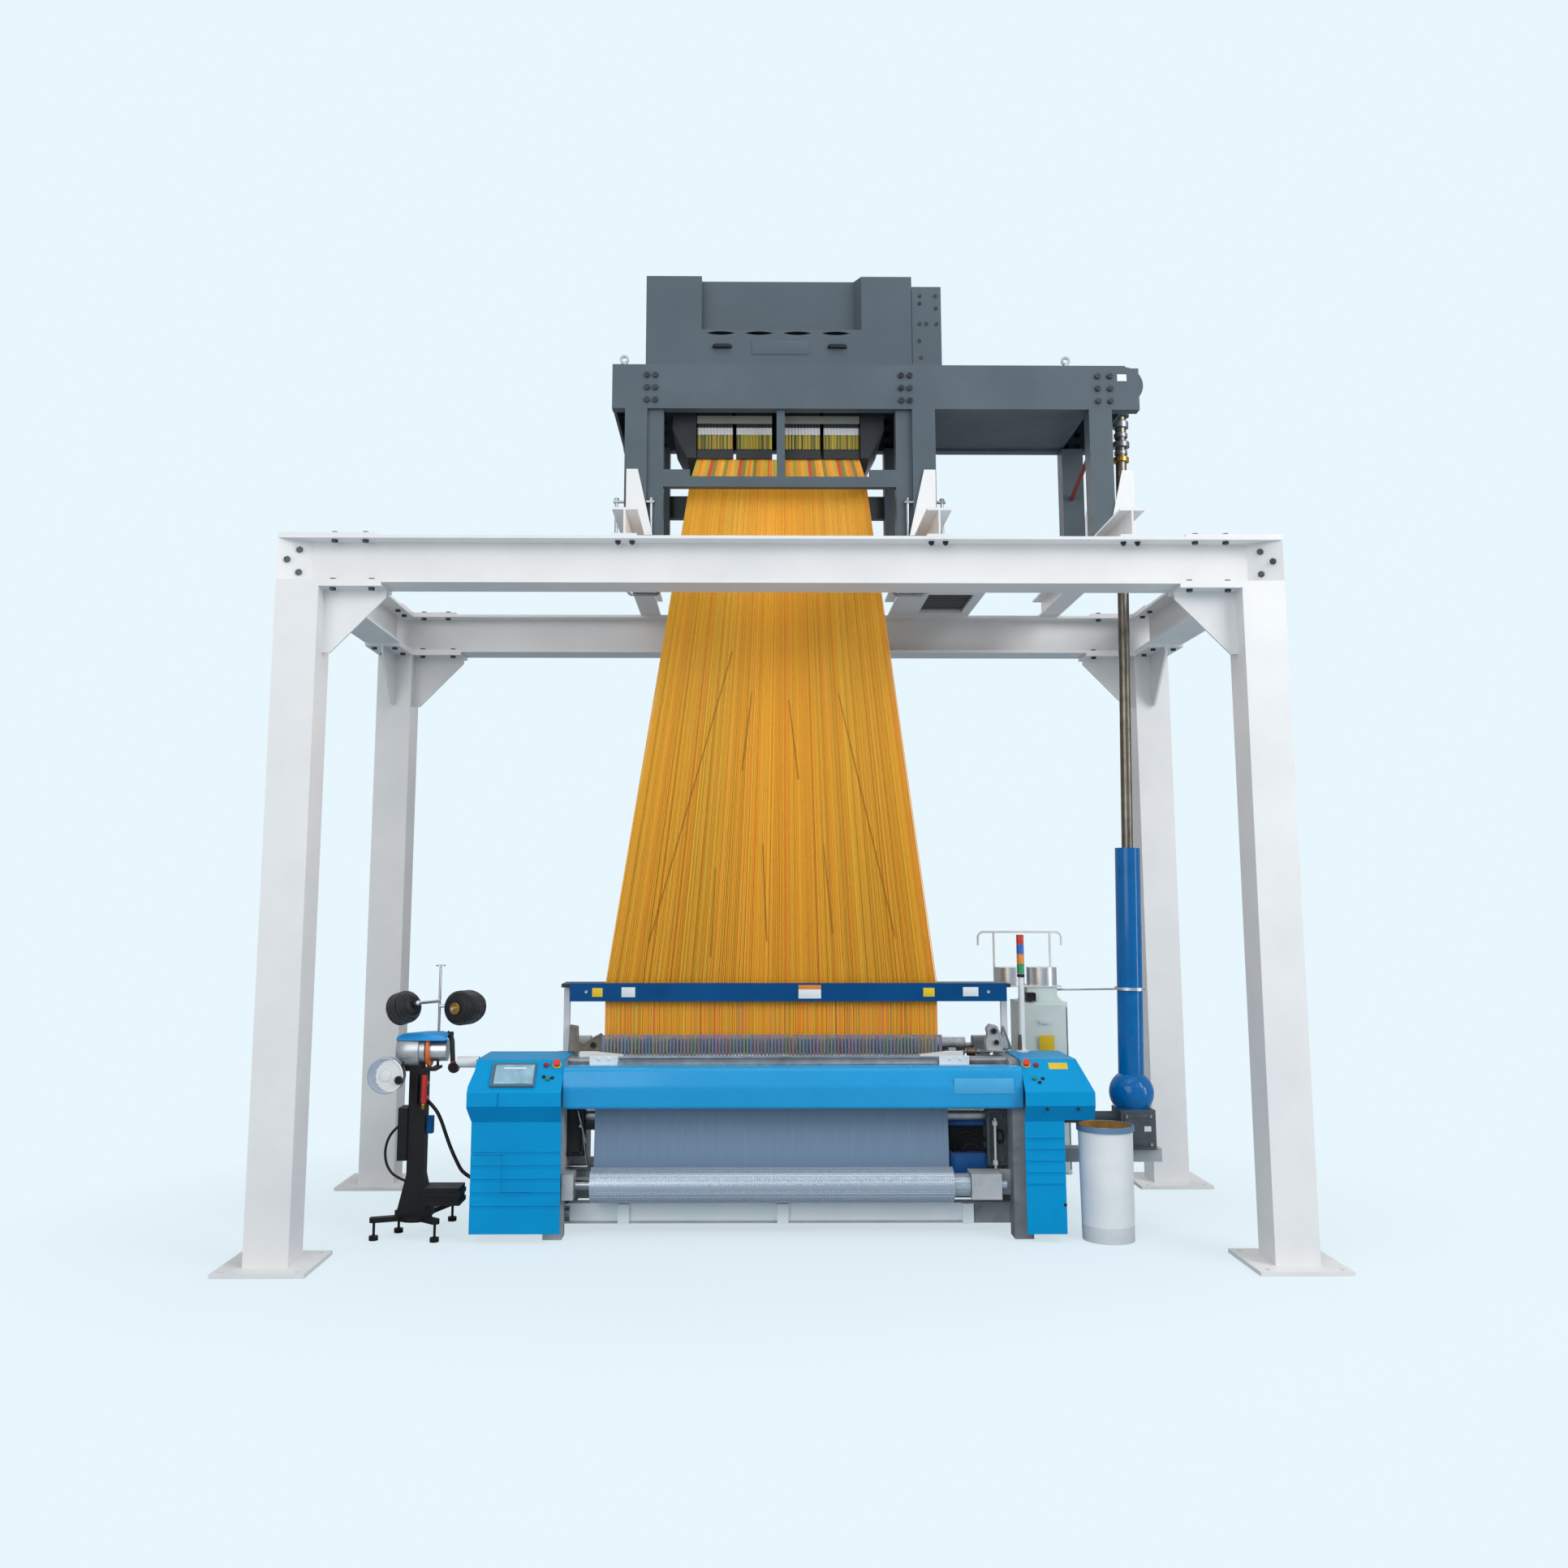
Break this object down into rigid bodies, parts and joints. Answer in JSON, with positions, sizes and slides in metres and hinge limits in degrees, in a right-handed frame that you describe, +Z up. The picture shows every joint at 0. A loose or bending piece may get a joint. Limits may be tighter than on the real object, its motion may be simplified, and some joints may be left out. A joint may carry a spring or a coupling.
{
  "type": "power loom",
  "caption": "Power loom with a jacquard head on a steel gantry, harness cords, blue covers, cloth roll, feeder stand, cabinet and bin.",
  "frame": {"origin": "on the floor under the centre of the gantry's footprint", "axes": "+X to the weaver's right, +Y from the weaver towards the warp beam, +Z up"},
  "size_m": [5.43, 2.43, 5.32],
  "materials": {
    "gantry_paint": "satin",
    "zinc": "satin",
    "slate_paint": "satin",
    "dark_paint": "satin",
    "module_plastic": "matte",
    "steel": "satin",
    "harness_yarn": "matte",
    "heddle_wire": "matte",
    "blue_paint": "satin",
    "grey_casting": "matte",
    "pale_paint": "satin",
    "blue_gloss": "gloss",
    "blue_cover": "satin",
    "dark_plastic": "gloss",
    "rubber_sleeve": "matte",
    "cloth": "matte",
    "aluminium": "satin",
    "white_plastic": "matte",
    "warp_yarn": "matte",
    "cabinet_paint": "satin",
    "lamp_plastic": "gloss",
    "red_plastic": "gloss",
    "green_plastic": "gloss",
    "black_paint": "satin",
    "silver_casting": "satin",
    "orange_plastic": "matte",
    "package_yarn": "matte",
    "cable_rubber": "matte"
  },
  "bodies": {
    "machine": {"gantry_columns": "gantry_paint", "gantry_beams": "gantry_paint", "corner_plates": "gantry_paint", "frame_bolts": "zinc", "bearers": "gantry_paint", "bearer_grille": "gantry_paint", "hold_down_clamps": "zinc", "jacquard_rails": "slate_paint", "jacquard_posts": "slate_paint", "jacquard_cross_members": "slate_paint", "jacquard_ties": "slate_paint", "lift_housing": "dark_paint", "hook_modules": "module_plastic", "jacquard_hood": "slate_paint", "hood_fittings": "zinc", "jacquard_gearbox": "slate_paint", "harness_cords": "harness_yarn", "comber_board": "dark_paint", "comber_guard": "blue_paint", "heddles": "heddle_wire", "return_springs": "heddle_wire", "shaft_guard": "blue_paint", "loom_gearbox": "grey_casting", "gearbox_bracket": "slate_paint", "side_frames": "grey_casting", "cross_beams": "pale_paint", "breast_beam": "steel", "breast_cover": "blue_gloss", "left_cover": "blue_cover", "right_cover": "blue_cover", "touch_screen": "dark_plastic", "cloth": "cloth", "roll_bearings": "grey_casting", "temples": "white_plastic", "warp_sheet": "warp_yarn", "cabinet": "cabinet_paint", "signal_tower": "lamp_plastic", "bobbin_rack": "steel", "feeder_stand": "black_paint", "feeders": "silver_casting", "yarn_cones": "package_yarn", "cable_loop": "cable_rubber", "feeder_hose": "cable_rubber", "waste_bin": "white_plastic"},
    "take_up": {"take_up_roller": "rubber_sleeve"},
    "cloth_winder": {"cloth_roll": "steel"},
    "presser": {"press_roller": "rubber_sleeve"},
    "warp_supply": {"warp_beam": "warp_yarn"},
    "back_roller": {"back_rest": "steel"},
    "sley_body": {"sley": "aluminium", "reed": "steel"},
    "head_drive": {"drive_shaft": "steel"},
    "upper_griffe": {"griffe_upper": "steel"},
    "lower_griffe": {"griffe_lower": "steel"},
    "left_stop": {"stop_button_left": "red_plastic"},
    "right_stop": {"stop_button_right": "red_plastic"},
    "left_start": {"start_button_left": "green_plastic"},
    "right_start": {"start_button_right": "green_plastic"},
    "door": {"cabinet_door": "cabinet_paint"},
    "feeder_rotor": {"feeder_disc": "orange_plastic"}
  },
  "joints": [
    {"name": "take_up_turn", "type": "hinge", "parent": "machine", "child": "take_up", "pos_m": [0, -0.4213, 0.76], "axis": [1, 0, 0], "continuous": true},
    {"name": "cloth_roll_turn", "type": "hinge", "parent": "machine", "child": "cloth_winder", "pos_m": [0, -0.4523, 0.273], "axis": [1, 0, 0], "continuous": true},
    {"name": "press_turn", "type": "hinge", "parent": "machine", "child": "presser", "pos_m": [0, -0.3337, 0.76], "axis": [1, 0, 0], "continuous": true},
    {"name": "warp_beam_turn", "type": "hinge", "parent": "machine", "child": "warp_supply", "pos_m": [0, 0.56, 0.44], "axis": [1, 0, 0], "continuous": true},
    {"name": "back_rest_turn", "type": "hinge", "parent": "machine", "child": "back_roller", "pos_m": [0, 0.795, 0.8687], "axis": [1, 0, 0], "continuous": true},
    {"name": "head_drive_turn", "type": "hinge", "parent": "machine", "child": "head_drive", "pos_m": [1.973, -0.15, 0.786], "axis": [0.0202, 0, 0.9998], "continuous": true},
    {"name": "feeder_turn", "type": "hinge", "parent": "machine", "child": "feeder_rotor", "pos_m": [-1.88, -0.4, 0.968], "axis": [1, 0, 0], "continuous": true},
    {"name": "sley_swing", "type": "hinge", "parent": "machine", "child": "sley_body", "pos_m": [0, -0.215, 0.6], "axis": [1, 0, 0], "range_deg": [0, 12]},
    {"name": "upper_griffe_lift", "type": "slide", "parent": "machine", "child": "upper_griffe", "axis": [0, 0, 1], "range_m": [-0.045, 0.045]},
    {"name": "lower_griffe_lift", "type": "slide", "parent": "machine", "child": "lower_griffe", "axis": [0, 0, 1], "range_m": [-0.045, 0.045]},
    {"name": "left_stop_press", "type": "slide", "parent": "machine", "child": "left_stop", "axis": [0, 0.7421, -0.6703], "range_m": [0, 0.006], "stiffness_N_per_m": 600},
    {"name": "right_stop_press", "type": "slide", "parent": "machine", "child": "right_stop", "axis": [0, 0.7421, -0.6703], "range_m": [0, 0.006], "stiffness_N_per_m": 600},
    {"name": "left_start_press", "type": "slide", "parent": "machine", "child": "left_start", "axis": [0, 0.7421, -0.6703], "range_m": [0, 0.004], "stiffness_N_per_m": 400},
    {"name": "right_start_press", "type": "slide", "parent": "machine", "child": "right_start", "axis": [0, 0.7421, -0.6703], "range_m": [0, 0.004], "stiffness_N_per_m": 400},
    {"name": "cabinet_door_hinge", "type": "hinge", "parent": "machine", "child": "door", "pos_m": [1.764, 0.482, 0.6475], "axis": [0, 0, 1], "range_deg": [0, 110]}
  ],
  "couplings": [
    {"joint": "cloth_roll_turn", "follows": "take_up_turn", "ratio": 0.65934},
    {"joint": "press_turn", "follows": "take_up_turn", "ratio": -2.4},
    {"joint": "back_rest_turn", "follows": "warp_beam_turn", "ratio": 5.2727},
    {"joint": "lower_griffe_lift", "follows": "upper_griffe_lift", "ratio": -1}
  ]
}
